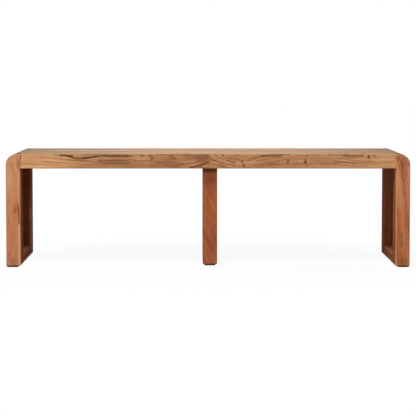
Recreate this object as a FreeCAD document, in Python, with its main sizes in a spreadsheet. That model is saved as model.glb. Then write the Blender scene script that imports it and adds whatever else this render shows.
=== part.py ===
import FreeCAD, Part
import os
import re

import Sketcher

# A backless hardwood bench in millimetres. X runs along the seat, Y towards the back and Z up.
# The origin is on the ground, under the middle of the bench.
# Two end frames, each a loop of two posts and two rails, carry the ends of the seat.
# The seat is two halves that meet over a smaller centre frame.

doc = FreeCAD.newDocument("bench")

# Driving dimensions. Every other size and place below is worked out from these.
SIZES = {
    # the whole bench
    "bench_length": 1600,
    "bench_depth": 380,
    "bench_height": 450,
    "seam_offset": 8,  # the two halves meet this far right of the middle
    # end frames and centre frame
    "end_width": 58,
    "post_depth": 70,
    "centre_width": 58,
    "centre_post_depth": 58,
    "centre_rail_height": 58,
    "bottom_rail_height": 40,
    # seat
    "seat_thickness": 58,
    "seat_rail_width": 45,
    "cross_rail_width": 45,
    "board_thickness": 22,
    "board_count": 4,
    "board_gap": 3,
    "end_gap": 0.5,  # between the seat and an end frame
    "seam_gap": 0.5,  # between the two halves
    # rounded edges
    "corner_radius": 44,
    "edge_radius": 3,
    "arris_radius": 8,
    "opening_radius": 6,
    "foot_radius": 5,
    "heel_radius": 2,
    "board_radius": 2,
    # mortises and tenons
    "tenon_thickness": 20,
    "tenon_shoulder": 10,
    "tenon_inset": 10,
    "mortise_wall": 30,
    "mortise_gap": 1,
    # dowels
    "dowel_diameter": 10,
    "dowel_depth": 25,
    "dowel_end_gap": 1,
    "dowel_inset": 15,  # from the outer face of the seat rail
    "dowel_edge": 16,  # from the top and the underside of the seat rail
    "dowel_wall": 3,  # wood between crossing dowels
    "dowel_spread": 24,  # between the two dowels of a cross rail's end
    "fit_gap": 0.1,
    # bolts, inserts, washers and nuts
    "bolt_diameter": 8,
    "bolt_clearance": 0.25,
    "head_width": 13,
    "head_height": 5.5,
    "nut_height": 6.5,
    "nut_thread_past": 4,
    "washer_diameter": 24,
    "washer_thickness": 2,
    "insert_diameter": 12,
    "insert_length": 25,
    # wood screws
    "screw_diameter": 4.5,
    "screw_head_diameter": 9,
    "screw_cover": 8,  # wood left above a screw in a seat board
    "screw_tip": 4,
    # foot pads
    "pad_height": 5,
    "pad_width": 44,
    "pad_inset": 2,
    "pad_radius": 4,
    "pad_screw_recess": 1.5,
    "pad_screw_reach": 25,
}

sheet = doc.addObject("Spreadsheet::Sheet", "sizes")
for row, (name, size) in enumerate(SIZES.items(), start=1):
    sheet.set(f"A{row}", name)
    sheet.set(f"B{row}", str(size))
    sheet.setAlias(f"B{row}", name)
doc.recompute()

# Places that several pieces share, as formulas of the sizes above
END_INNER = "(bench_length / 2 - end_width)"
SEAT_UNDER = "(bench_height - seat_thickness)"
BOARD_UNDER = "(bench_height - board_thickness)"
POST_HEIGHT = "(bench_height - pad_height)"
CENTRE_POST_HEIGHT = "(bench_height - board_thickness - pad_height)"
SEAT_FACE = "(bench_depth / 2)"
RAIL_INNER = "(bench_depth / 2 - seat_rail_width)"
POST_INNER = "(bench_depth / 2 - post_depth)"
CENTRE_INNER = "(bench_depth / 2 - seat_rail_width - centre_post_depth)"
CROSS_HEIGHT = "(seat_thickness - board_thickness)"
CROSS_MIDDLE = f"({CROSS_HEIGHT} / 2)"
BOARD_PITCH = "((bench_depth - 2 * seat_rail_width - board_gap) / board_count)"
BOARD_WIDTH = f"({BOARD_PITCH} - board_gap)"
BOLT_OFFSET = f"({BOARD_PITCH} / 2)"
BOLT_HOLE = "(bolt_diameter + 2 * bolt_clearance)"
DOWEL_HOLE = "(dowel_diameter + 2 * fit_gap)"
CROSS_DOWEL_DEPTH = "(seat_rail_width - dowel_inset - dowel_diameter / 2 - dowel_wall)"
SCREW_HOLE = "(screw_diameter + 2 * fit_gap)"
HEAD_HOLE = "(screw_head_diameter + 2 * fit_gap)"
SCREW_LENGTH = "(seat_thickness - screw_cover)"
SCREW_HEAD_HEIGHT = "((screw_head_diameter - screw_diameter) / 2)"
PAD_MIDDLE = "(pad_inset + pad_width / 2)"

# The seat halves, each from its start to its stop along X, with the middles of its three cross rails
LEFT_START = f"(end_gap - {END_INNER})"
LEFT_STOP = "(seam_offset - seam_gap / 2)"
RIGHT_START = "(seam_offset + seam_gap / 2)"
RIGHT_STOP = f"({END_INNER} - end_gap)"
LEFT_END_CROSS = f"({LEFT_START} + cross_rail_width / 2)"
LEFT_CENTRE_CROSS = "(seam_offset - centre_width / 2 - cross_rail_width / 2)"
RIGHT_END_CROSS = f"({RIGHT_STOP} - cross_rail_width / 2)"
RIGHT_CENTRE_CROSS = "(seam_offset + centre_width / 2 + cross_rail_width / 2)"


def middle(low, high):
    """Gives the formula for the point halfway between two others."""
    return f"(({low} + {high}) / 2)"


HALVES = {
    "left": {
        "start": LEFT_START,
        "stop": LEFT_STOP,
        "crosses": {
            "end": LEFT_END_CROSS,
            "middle": middle(LEFT_END_CROSS, LEFT_CENTRE_CROSS),
            "centre": LEFT_CENTRE_CROSS,
        },
    },
    "right": {
        "start": RIGHT_START,
        "stop": RIGHT_STOP,
        "crosses": {
            "end": RIGHT_END_CROSS,
            "middle": middle(RIGHT_END_CROSS, RIGHT_CENTRE_CROSS),
            "centre": RIGHT_CENTRE_CROSS,
        },
    },
}

TOLERANCE = 1e-4
WHOLE, START, END, CENTRE = range(4)  # the points by which a sketch holds a line, an arc or a circle
pieces = []


def linked(formula):
    """Spells the size names in a formula as cells of the sheet."""
    return re.sub(r"[a-z_]+", lambda word: "<<sizes>>." + word[0] if word[0] in SIZES else word[0], formula)


def value(formula):
    """Works a formula out with the sizes as they are now."""
    return float(doc.sizes.evalExpression(linked(formula)))


def bind(feature, setting, formula):
    feature.setExpression(setting, linked(formula))


def times(sign, formula):
    return f"({sign} * {formula})"


# Sketches, pads and cuts

def new_piece(label, place=("0", "0", "0")):
    """Starts a piece as a body with its own label, set down at a place given as three formulas."""
    body = doc.addObject("PartDesign::Body", label)
    body.Label = label
    for axis, formula in zip("xyz", place):
        bind(body, f"Placement.Base.{axis}", formula)
    pieces.append(body)
    return body


def plane(body, role):
    return next(feature for feature in body.Origin.OriginFeatures if feature.Role == role)


def new_sketch(body, name, role, offset):
    """Adds a sketch on one of the body's own planes, moved along the plane's normal by the offset."""
    sketch = body.newObject("Sketcher::SketchObject", name)
    sketch.AttachmentSupport = (plane(body, role), [""])
    sketch.MapMode = "FlatFace"
    bind(sketch, "AttachmentOffset.Base.z", offset)
    return sketch


def pin(sketch, kind, geometry, point, formula):
    """Holds a point of the sketch at a distance from the sketch's origin."""
    axis_through_origin = -1
    place = Sketcher.Constraint(kind, axis_through_origin, START, geometry, point, value(formula))
    bind(sketch, f"Constraints[{sketch.addConstraint(place)}]", formula)


def add_rectangle(sketch, across, up):
    """Draws a rectangle between two formulas across and two up."""
    left, right = (value(formula) for formula in across)
    low, high = (value(formula) for formula in up)
    corners = [(left, low), (right, low), (right, high), (left, high)]
    lines = []
    for here, there in zip(corners, corners[1:] + corners[:1]):
        segment = Part.LineSegment(FreeCAD.Vector(*here), FreeCAD.Vector(*there))
        lines.append(sketch.addGeometry(segment))
    for here, there in zip(lines, lines[1:] + lines[:1]):
        sketch.addConstraint(Sketcher.Constraint("Coincident", here, END, there, START))
    for number, line in enumerate(lines):
        sketch.addConstraint(Sketcher.Constraint("Vertical" if number % 2 else "Horizontal", line))
    pin(sketch, "DistanceX", lines[0], START, across[0])
    pin(sketch, "DistanceX", lines[0], END, across[1])
    pin(sketch, "DistanceY", lines[0], START, up[0])
    pin(sketch, "DistanceY", lines[1], END, up[1])


def add_circle(sketch, across, up, diameter):
    ring = Part.Circle(FreeCAD.Vector(value(across), value(up)), FreeCAD.Vector(0, 0, 1), value(diameter) / 2)
    circle = sketch.addGeometry(ring)
    pin(sketch, "DistanceX", circle, CENTRE, across)
    pin(sketch, "DistanceY", circle, CENTRE, up)
    size = sketch.addConstraint(Sketcher.Constraint("Diameter", circle, value(diameter)))
    bind(sketch, f"Constraints[{size}]", diameter)


def add_polygon(sketch, points):
    """Draws a closed outline through points, each a pair of formulas."""
    places = [FreeCAD.Vector(value(across), value(up)) for across, up in points]
    lines = [
        sketch.addGeometry(Part.LineSegment(here, there))
        for here, there in zip(places, places[1:] + places[:1])
    ]
    for here, there in zip(lines, lines[1:] + lines[:1]):
        sketch.addConstraint(Sketcher.Constraint("Coincident", here, END, there, START))
    for line, (across, up) in zip(lines, points):
        pin(sketch, "DistanceX", line, START, across)
        pin(sketch, "DistanceY", line, START, up)


def pad(body, sketch, length, backwards=False, both_ways=False):
    feature = body.newObject("PartDesign::Pad", sketch.Name + "_pad")
    feature.Profile = sketch
    feature.Reversed = backwards
    feature.Midplane = both_ways
    bind(feature, "Length", length)
    doc.recompute()
    return feature


def pocket(body, sketch, depth, backwards=False, both_ways=False):
    """Cuts the sketch out of the body and makes sure that wood was taken away."""
    before = body.Tip.Shape.Volume
    feature = body.newObject("PartDesign::Pocket", sketch.Name + "_cut")
    feature.Profile = sketch
    feature.Reversed = backwards
    feature.Midplane = both_ways
    bind(feature, "Length", depth)
    doc.recompute()
    if feature.Shape.Volume > before - TOLERANCE:
        raise RuntimeError(f"{feature.Name} cuts nothing")
    return feature


def mirror(body, role, *originals):
    feature = body.newObject("PartDesign::Mirrored", f"{originals[0].Name}_mirror")
    feature.Originals = list(originals)
    feature.MirrorPlane = (plane(body, role), [""])
    body.Tip = feature
    doc.recompute()


def near(here, formula):
    return abs(here - value(formula)) < TOLERANCE


def round_edges(body, name, radius, wanted):
    """Rounds each edge of the body for which wanted(edge) is true."""
    base = body.Tip
    numbers = [number for number, edge in enumerate(base.Shape.Edges, start=1) if wanted(edge)]
    feature = body.newObject("PartDesign::Fillet", f"{body.Name}_{name}")
    feature.Base = (base, [f"Edge{number}" for number in numbers])
    bind(feature, "Radius", radius)
    doc.recompute()


def along(axis, **place):
    """Picks the straight edges that run along an axis, at the given formulas on the other axes."""

    def wanted(edge):
        first, last = edge.Vertexes[0].Point, edge.Vertexes[-1].Point
        others = [other for other in "xyz" if other != axis]
        straight = all(abs(getattr(first, other) - getattr(last, other)) < TOLERANCE for other in others)
        return straight and all(near(getattr(first, other), formula) for other, formula in place.items())

    return wanted


def on_face(axis, formula):
    """Picks the edges that lie in the plane at a formula on an axis."""

    def wanted(edge):
        middle_point = edge.valueAt((edge.FirstParameter + edge.LastParameter) / 2)
        points = [vertex.Point for vertex in edge.Vertexes] + [middle_point]
        return all(near(getattr(point, axis), formula) for point in points)

    return wanted


def is_upright(edge):
    return abs(edge.Vertexes[0].Z - edge.Vertexes[-1].Z) > TOLERANCE


def round_off(body, sketch, corner, inward, radius, depth, backwards):
    """Rounds a corner of the body with a cutter of the sketch's plane, over a depth along its normal.

    The corner is two formulas in the sketch, and inward holds the signs that point from it into the wood."""
    corner_across, corner_up = corner
    far_across = f"({corner_across} + {inward[0]} * {radius})"
    far_up = f"({corner_up} + {inward[1]} * {radius})"
    corner_point = FreeCAD.Vector(value(corner_across), value(corner_up))
    first = FreeCAD.Vector(value(far_across), value(corner_up))
    last = FreeCAD.Vector(value(corner_across), value(far_up))
    centre = FreeCAD.Vector(value(far_across), value(far_up))
    halfway = centre + (corner_point - centre).normalize() * value(radius)
    out = sketch.addGeometry(Part.LineSegment(corner_point, first))
    back = sketch.addGeometry(Part.LineSegment(last, corner_point))
    arc = sketch.addGeometry(Part.Arc(first, halfway, last))
    anticlockwise = (first - centre).cross(last - centre).z > 0
    near_first, near_last = (START, END) if anticlockwise else (END, START)
    sketch.addConstraint(Sketcher.Constraint("Coincident", back, END, out, START))
    sketch.addConstraint(Sketcher.Constraint("Coincident", out, END, arc, near_first))
    sketch.addConstraint(Sketcher.Constraint("Coincident", arc, near_last, back, START))
    pin(sketch, "DistanceX", out, START, corner_across)
    pin(sketch, "DistanceY", out, START, corner_up)
    pin(sketch, "DistanceX", out, END, far_across)
    pin(sketch, "DistanceY", out, END, corner_up)
    pin(sketch, "DistanceX", back, START, corner_across)
    pin(sketch, "DistanceY", back, START, far_up)
    size = sketch.addConstraint(Sketcher.Constraint("Radius", arc, value(radius)))
    bind(sketch, f"Constraints[{size}]", radius)
    pocket(body, sketch, depth, backwards)


def round_upright(body, name, corner, inward, low, high, radius):
    """Rounds an upright corner between two heights, as a router does when it stops short."""
    sketch = new_sketch(body, f"{body.Name}_{name}", "XY_Plane", low)
    round_off(body, sketch, corner, inward, radius, f"({high} - {low})", True)


# End frames

TENON_LOW = "(end_width - tenon_inset - tenon_thickness)"
TENON_HIGH = "(end_width - tenon_inset)"
DOWEL_HEIGHTS = ("dowel_edge", "(seat_thickness - dowel_edge)")


def end_post(label, side, face):
    """Makes one post of an end frame, with its own origin at the foot's outer corner.

    Side is -1 for left and 1 for right, and face is -1 for front and 1 for back."""
    inward_x, inward_y = -side, -face
    place = (times(side, "bench_length / 2"), times(face, SEAT_FACE), "pad_height")
    body = new_piece(label, place)
    inner = times(inward_x, "end_width")
    opening = times(inward_y, "post_depth")

    outline = new_sketch(body, f"{label}_outline", "XZ_Plane", "0")
    add_rectangle(outline, ("0", inner), ("0", POST_HEIGHT))
    pad(body, outline, "post_depth", backwards=inward_y > 0)
    round_edges(body, "corner", "corner_radius", along("y", x="0", z=POST_HEIGHT))
    round_edges(body, "heel", "heel_radius", along("y", x="0", z="0"))
    on_outer_face = on_face("y", "0")
    on_inner_side = on_face("x", inner)
    round_edges(body, "face", "edge_radius", lambda edge: on_outer_face(edge) and not on_inner_side(edge))
    under_seat = f"({POST_HEIGHT} - seat_thickness)"
    foot = new_sketch(body, f"{label}_foot", "XZ_Plane", "0")
    round_off(body, foot, (inner, "0"), (-inward_x, 1), "foot_radius", "post_depth", inward_y < 0)
    round_upright(body, "arris", (inner, "0"), (-inward_x, inward_y), "0", under_seat, "arris_radius")
    corners = {"inner": (inner, -inward_x), "outer": ("0", inward_x)}
    heights = ("bottom_rail_height", under_seat)
    for name, (corner_x, into_x) in corners.items():
        signs = (into_x, -inward_y)
        round_upright(body, f"{name}_opening", (corner_x, opening), signs, *heights, "opening_radius")

    mortises = new_sketch(body, f"{label}_mortises", "XZ_Plane", times(-1, opening))
    across = (times(inward_x, TENON_LOW), times(inward_x, TENON_HIGH))
    add_rectangle(mortises, across, ("tenon_shoulder", "(bottom_rail_height - tenon_shoulder)"))
    top = (f"({under_seat} + tenon_shoulder)", f"({POST_HEIGHT} - tenon_shoulder)")
    add_rectangle(mortises, across, top)
    pocket(body, mortises, "(post_depth - mortise_wall)", backwards=inward_y > 0)

    holes = new_sketch(body, f"{label}_dowel_holes", "YZ_Plane", inner)
    for height in DOWEL_HEIGHTS:
        add_circle(holes, times(inward_y, "dowel_inset"), f"({under_seat} + {height})", DOWEL_HOLE)
    pocket(body, holes, "dowel_depth", backwards=inward_x < 0)

    hole = new_sketch(body, f"{label}_pad_hole", "XY_Plane", "0")
    add_circle(hole, times(inward_x, PAD_MIDDLE), times(inward_y, PAD_MIDDLE), SCREW_HOLE)
    pocket(body, hole, "pad_screw_reach", backwards=True)


def frame_rail(label, place, frame, height, rounds):
    """Makes a rail of a frame, from front to back between two posts, with a tenon at each end.

    The frame gives what its rails share: their sides along X, half the space between its posts,
    how deep its mortises are and the sides of its tenons. Rounds has (x, z, radius) for each long edge."""
    body = new_piece(label, place)
    across, half_span, reach, tenon = frame
    outline = new_sketch(body, f"{label}_outline", "XZ_Plane", "0")
    add_rectangle(outline, across, ("0", height))
    pad(body, outline, f"(2 * {half_span})", both_ways=True)
    for number, (edge_x, edge_z, radius) in enumerate(rounds):
        round_edges(body, f"round_{number}", radius, along("y", x=edge_x, z=edge_z))
    tenons = new_sketch(body, f"{label}_tenons", "XZ_Plane", "0")
    add_rectangle(tenons, tenon, ("tenon_shoulder", f"({height} - tenon_shoulder)"))
    pad(body, tenons, f"(2 * ({half_span} + {reach} - mortise_gap))", both_ways=True)
    return body


def end_frame(name, side):
    """Makes the posts and rails of the left or the right end."""
    for end_name, face in (("front", -1), ("rear", 1)):
        end_post(f"{name}_{end_name}_post", side, face)
    inward = -side
    inner = times(inward, "end_width")
    outer_x = times(side, "bench_length / 2")
    tenon = (times(inward, TENON_LOW), times(inward, TENON_HIGH))
    frame = (("0", inner), POST_INNER, "(post_depth - mortise_wall)", tenon)

    top_rounds = [
        ("0", "seat_thickness", "corner_radius"),
        ("0", "0", "opening_radius"),
        (inner, "0", "opening_radius"),
    ]
    top = frame_rail(f"{name}_top_rail", (outer_x, "0", SEAT_UNDER), frame, "seat_thickness", top_rounds)
    holes = new_sketch(top, f"{name}_insert_holes", "YZ_Plane", inner)
    for sign in (-1, 1):
        add_circle(holes, times(sign, BOLT_OFFSET), CROSS_MIDDLE, "(insert_diameter + 2 * fit_gap)")
    pocket(top, holes, "(insert_length + mortise_gap)", backwards=inward < 0)

    bottom_rounds = [
        ("0", "0", "heel_radius"),
        (inner, "0", "foot_radius"),
        ("0", "bottom_rail_height", "opening_radius"),
        (inner, "bottom_rail_height", "opening_radius"),
    ]
    bottom_place = (outer_x, "0", "pad_height")
    frame_rail(f"{name}_bottom_rail", bottom_place, frame, "bottom_rail_height", bottom_rounds)


# Centre frame

CENTRE_TENON = ("(-tenon_thickness / 2)", "(tenon_thickness / 2)")
CENTRE_REACH = "(centre_post_depth - mortise_wall)"


def centre_post(label, face):
    """Makes the front or the rear post of the centre frame, behind the seat rails and under the boards."""
    inward = -face
    body = new_piece(label, ("seam_offset", times(face, RAIL_INNER), "pad_height"))
    half = "(centre_width / 2)"
    opening = times(inward, "centre_post_depth")
    outline = new_sketch(body, f"{label}_outline", "XZ_Plane", "0")
    add_rectangle(outline, (times(-1, half), half), ("0", CENTRE_POST_HEIGHT))
    pad(body, outline, "centre_post_depth", backwards=inward > 0)
    foot = along("y", z="0")
    round_edges(body, "foot", "foot_radius", foot)
    on_outer_face = on_face("y", "0")
    on_top = on_face("z", CENTRE_POST_HEIGHT)
    round_edges(body, "face", "edge_radius", lambda edge: on_outer_face(edge) and not on_top(edge))

    opening_top = f"({CENTRE_POST_HEIGHT} - centre_rail_height)"
    heights = ("bottom_rail_height", opening_top)
    for name, sign in (("left", -1), ("right", 1)):
        corner = (times(sign, half), opening)
        round_upright(body, f"{name}_opening", corner, (-sign, -inward), *heights, "opening_radius")

    mortises = new_sketch(body, f"{label}_mortises", "XZ_Plane", times(-1, opening))
    add_rectangle(mortises, CENTRE_TENON, ("tenon_shoulder", "(bottom_rail_height - tenon_shoulder)"))
    top = (f"({opening_top} + tenon_shoulder)", f"({CENTRE_POST_HEIGHT} - tenon_shoulder)")
    add_rectangle(mortises, CENTRE_TENON, top)
    pocket(body, mortises, CENTRE_REACH, backwards=inward > 0)

    hole = new_sketch(body, f"{label}_pad_hole", "XY_Plane", "0")
    add_circle(hole, "0", times(inward, PAD_MIDDLE), SCREW_HOLE)
    pocket(body, hole, "pad_screw_reach", backwards=True)


def centre_frame():
    centre_post("centre_front_post", -1)
    centre_post("centre_rear_post", 1)
    half = "(centre_width / 2)"
    sides = (times(-1, half), half)
    frame = (sides, CENTRE_INNER, CENTRE_REACH, CENTRE_TENON)

    top_place = ("seam_offset", "0", f"({BOARD_UNDER} - centre_rail_height)")
    top_rounds = [(side, "0", "opening_radius") for side in sides]
    top = frame_rail("centre_top_rail", top_place, frame, "centre_rail_height", top_rounds)
    holes = new_sketch(top, "centre_rail_bolt_holes", "YZ_Plane", "0")
    for sign in (-1, 1):
        add_circle(holes, times(sign, BOLT_OFFSET), f"(centre_rail_height - {CROSS_MIDDLE})", BOLT_HOLE)
    pocket(top, holes, "(2 * centre_width)", both_ways=True)

    bottom_place = ("seam_offset", "0", "pad_height")
    bottom_rounds = [(side, "0", "foot_radius") for side in sides]
    bottom_rounds += [(side, "bottom_rail_height", "opening_radius") for side in sides]
    frame_rail("centre_bottom_rail", bottom_place, frame, "bottom_rail_height", bottom_rounds)


# Seat

def seat_rail(label, half, face):
    """Makes the long rail along the front or the back of one half, with its own origin at its start."""
    inward = -face
    start, stop = half["start"], half["stop"]
    length = f"({stop} - {start})"
    body = new_piece(label, (start, times(face, SEAT_FACE), SEAT_UNDER))
    outline = new_sketch(body, f"{label}_outline", "YZ_Plane", "0")
    inner = times(inward, "seat_rail_width")
    add_rectangle(outline, ("0", inner), ("0", "seat_thickness"))
    pad(body, outline, length)
    round_edges(body, "edges", "edge_radius", along("x"))

    for end_name, offset, backwards in (("start", "0", True), ("stop", length, False)):
        holes = new_sketch(body, f"{label}_{end_name}_holes", "YZ_Plane", offset)
        for height in DOWEL_HEIGHTS:
            add_circle(holes, times(inward, "dowel_inset"), height, DOWEL_HOLE)
        pocket(body, holes, "dowel_depth", backwards=backwards)

    cross_holes = new_sketch(body, f"{label}_cross_holes", "XZ_Plane", times(-1, inner))
    for cross in half["crosses"].values():
        for sign in (-1, 1):
            across = f"({cross} - {start} + {sign} * dowel_spread / 2)"
            add_circle(cross_holes, across, CROSS_MIDDLE, DOWEL_HOLE)
    pocket(body, cross_holes, CROSS_DOWEL_DEPTH, backwards=inward > 0)


def screw_rows():
    """Gives the formulas along Y for the two screws of each seat board."""
    rows = []
    for number in range(SIZES["board_count"]):
        board_middle = f"(({number} - (board_count - 1) / 2) * {BOARD_PITCH})"
        rows += [f"({board_middle} + {sign} * {BOARD_WIDTH} / 4)" for sign in (-1, 1)]
    return rows


def cross_rail(label, middle_x, bolted):
    """Makes a rail from the front to the rear seat rail, which the boards are screwed to from below."""
    body = new_piece(label, (middle_x, "0", SEAT_UNDER))
    outline = new_sketch(body, f"{label}_outline", "XZ_Plane", "0")
    half = "(cross_rail_width / 2)"
    add_rectangle(outline, (times(-1, half), half), ("0", CROSS_HEIGHT))
    pad(body, outline, f"(2 * {RAIL_INNER})", both_ways=True)

    dowel_holes = new_sketch(body, f"{label}_dowel_holes", "XZ_Plane", RAIL_INNER)
    for sign in (-1, 1):
        add_circle(dowel_holes, f"({sign} * dowel_spread / 2)", CROSS_MIDDLE, DOWEL_HOLE)
    front_holes = pocket(body, dowel_holes, "dowel_depth")
    mirror(body, "XZ_Plane", front_holes)

    screw_holes = new_sketch(body, f"{label}_screw_holes", "XY_Plane", "0")
    for row_y in screw_rows():
        add_circle(screw_holes, "0", row_y, SCREW_HOLE)
    sink(body, screw_holes, CROSS_HEIGHT)

    if bolted:
        bolt_holes = new_sketch(body, f"{label}_bolt_holes", "YZ_Plane", "0")
        for sign in (-1, 1):
            add_circle(bolt_holes, times(sign, BOLT_OFFSET), CROSS_MIDDLE, BOLT_HOLE)
        pocket(body, bolt_holes, "(2 * cross_rail_width)", both_ways=True)


def sink(body, sketch, depth):
    """Drills countersunk screw holes upward from the sketch, right through the given depth."""
    doc.recompute()
    before = body.Tip.Shape.Volume
    hole = body.newObject("PartDesign::Hole", sketch.Name + "_sunk")
    hole.Profile = sketch
    hole.Reversed = True
    hole.DepthType = "Dimension"
    hole.DrillPoint = "Flat"
    hole.HoleCutType = "Countersink"
    hole.HoleCutCustomValues = True
    hole.HoleCutCountersinkAngle = 90
    bind(hole, "Depth", f"({depth} + fit_gap)")
    bind(hole, "Diameter", SCREW_HOLE)
    bind(hole, "HoleCutDiameter", HEAD_HOLE)
    doc.recompute()
    if hole.Shape.Volume > before - TOLERANCE:
        raise RuntimeError(f"{hole.Name} cuts nothing")


def seat_board(label, half, number):
    """Makes one board of the seat top, with pilot holes for its screws in the underside."""
    start, stop = half["start"], half["stop"]
    middle_y = f"(({number} - (board_count - 1) / 2) * {BOARD_PITCH})"
    body = new_piece(label, (start, middle_y, BOARD_UNDER))
    outline = new_sketch(body, f"{label}_outline", "YZ_Plane", "0")
    half_width = f"({BOARD_WIDTH} / 2)"
    add_rectangle(outline, (times(-1, half_width), half_width), ("0", "board_thickness"))
    pad(body, outline, f"({stop} - {start})")
    round_edges(body, "edges", "board_radius", along("x", z="board_thickness"))
    holes = new_sketch(body, f"{label}_pilot_holes", "XY_Plane", "0")
    for cross in half["crosses"].values():
        for sign in (-1, 1):
            add_circle(holes, f"({cross} - {start})", f"({sign} * {BOARD_WIDTH} / 4)", SCREW_HOLE)
    pocket(body, holes, "(board_thickness - screw_cover + mortise_gap)", backwards=True)


def seat_half(name):
    half = HALVES[name]
    seat_rail(f"{name}_front_seat_rail", half, -1)
    seat_rail(f"{name}_rear_seat_rail", half, 1)
    for cross_name, middle_x in half["crosses"].items():
        cross_rail(f"{name}_{cross_name}_cross_rail", middle_x, bolted=cross_name != "middle")
    for number in range(SIZES["board_count"]):
        seat_board(f"{name}_seat_board_{number + 1}", half, number)


# Dowels

def seat_rail_dowels():
    """Makes the dowels between the seat rails and the end posts."""
    body = new_piece("seat_rail_dowels", ("0", "0", SEAT_UNDER))
    sketch = new_sketch(body, "end_dowel_circles", "YZ_Plane", f"(end_gap / 2 - {END_INNER})")
    dowel_circles(sketch)
    left = pad(body, sketch, "(2 * dowel_depth + end_gap - 2 * dowel_end_gap)", both_ways=True)
    mirror(body, "YZ_Plane", left)


def seam_dowels():
    """Makes the dowels that keep the two halves level where they meet."""
    body = new_piece("seam_dowels", ("seam_offset", "0", SEAT_UNDER))
    sketch = new_sketch(body, "seam_dowel_circles", "YZ_Plane", "0")
    dowel_circles(sketch)
    pad(body, sketch, "(2 * dowel_depth + seam_gap - 2 * dowel_end_gap)", both_ways=True)


def dowel_circles(sketch):
    for face in (-1, 1):
        for height in DOWEL_HEIGHTS:
            add_circle(sketch, times(face, f"({SEAT_FACE} - dowel_inset)"), height, "dowel_diameter")


def cross_rail_dowels(name):
    """Makes the dowels between the cross rails and the seat rails of one half."""
    body = new_piece(f"{name}_cross_rail_dowels", ("0", "0", SEAT_UNDER))
    middle_y = f"({RAIL_INNER} + ({CROSS_DOWEL_DEPTH} - dowel_depth) / 2)"
    sketch = new_sketch(body, f"{name}_cross_dowel_circles", "XZ_Plane", middle_y)
    for cross in HALVES[name]["crosses"].values():
        for sign in (-1, 1):
            add_circle(sketch, f"({cross} + {sign} * dowel_spread / 2)", CROSS_MIDDLE, "dowel_diameter")
    front = pad(body, sketch, f"({CROSS_DOWEL_DEPTH} + dowel_depth - 2 * dowel_end_gap)", both_ways=True)
    mirror(body, "XZ_Plane", front)


# Bolts, washers, inserts and nuts

def add_hexagon(sketch, across, up):
    """Draws a hexagon with flats head_width apart about a centre."""
    reach = "head_width / sqrt(3)"
    points = []
    for degrees in range(0, 360, 60):
        points.append((f"({across} + cos({degrees}) * {reach})", f"({up} + sin({degrees}) * {reach})"))
    add_polygon(sketch, points)


def mirror_both(body, *originals):
    """Repeats features across the bench's length and across its depth."""
    both = body.newObject("PartDesign::MultiTransform", f"{body.Name}_repeats")
    mirrors = []
    for role in ("XZ_Plane", "YZ_Plane"):
        one = body.newObject("PartDesign::Mirrored", f"{body.Name}_{role[:2]}")
        one.MirrorPlane = (plane(body, role), [""])
        mirrors.append(one)
    both.Originals = list(originals)
    both.Transformations = mirrors
    body.Tip = both
    doc.recompute()


def end_fasteners():
    """Makes the bolts, washers and threaded inserts that fasten the seat to the end frames."""
    place = ("0", "0", f"({SEAT_UNDER} + {CROSS_MIDDLE})")
    cross_inner = f"({END_INNER} - end_gap - cross_rail_width)"
    washer_inner = f"({cross_inner} - washer_thickness)"

    bolts = new_piece("end_bolts", place)
    head = new_sketch(bolts, "end_bolt_heads", "YZ_Plane", washer_inner)
    add_hexagon(head, BOLT_OFFSET, "0")
    head_pad = pad(bolts, head, "head_height", backwards=True)
    shank = new_sketch(bolts, "end_bolt_shanks", "YZ_Plane", washer_inner)
    add_circle(shank, BOLT_OFFSET, "0", "bolt_diameter")
    reach = "(washer_thickness + cross_rail_width + end_gap + insert_length - mortise_gap)"
    shank_pad = pad(bolts, shank, reach)
    mirror_both(bolts, head_pad, shank_pad)

    washers = new_piece("end_washers", place)
    rings = ring(washers, "end_washer_rings", cross_inner, "washer_diameter")
    mirror_both(washers, pad(washers, rings, "washer_thickness", backwards=True))

    inserts = new_piece("threaded_inserts", place)
    sleeves = ring(inserts, "insert_rings", END_INNER, "insert_diameter")
    mirror_both(inserts, pad(inserts, sleeves, "insert_length"))


def ring(body, name, offset, diameter):
    """Draws the section of a washer or an insert round a bolt."""
    sketch = new_sketch(body, name, "YZ_Plane", offset)
    add_circle(sketch, BOLT_OFFSET, "0", diameter)
    add_circle(sketch, BOLT_OFFSET, "0", "(bolt_diameter + 2 * fit_gap)")
    return sketch


def centre_fasteners():
    """Makes the bolts, washers and nuts that clamp both halves to the centre frame."""
    place = ("seam_offset", "0", f"({SEAT_UNDER} + {CROSS_MIDDLE})")
    cross_outer = "(centre_width / 2 + cross_rail_width)"
    washer_outer = f"({cross_outer} + washer_thickness)"

    bolts = new_piece("centre_bolts", place)
    head = new_sketch(bolts, "centre_bolt_heads", "YZ_Plane", times(-1, washer_outer))
    add_hexagon(head, BOLT_OFFSET, "0")
    head_pad = pad(bolts, head, "head_height", backwards=True)
    shank = new_sketch(bolts, "centre_bolt_shanks", "YZ_Plane", times(-1, washer_outer))
    add_circle(shank, BOLT_OFFSET, "0", "bolt_diameter")
    shank_pad = pad(bolts, shank, f"(2 * {washer_outer} + nut_height + nut_thread_past)")
    mirror(bolts, "XZ_Plane", head_pad, shank_pad)

    washers = new_piece("centre_washers", place)
    rings = ring(washers, "centre_washer_rings", cross_outer, "washer_diameter")
    mirror_both(washers, pad(washers, rings, "washer_thickness"))

    nuts = new_piece("centre_nuts", place)
    outline = new_sketch(nuts, "centre_nut_outlines", "YZ_Plane", washer_outer)
    add_hexagon(outline, BOLT_OFFSET, "0")
    add_circle(outline, BOLT_OFFSET, "0", "(bolt_diameter + 2 * fit_gap)")
    nut_pad = pad(nuts, outline, "nut_height")
    mirror(nuts, "XZ_Plane", nut_pad)


# Wood screws

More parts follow.
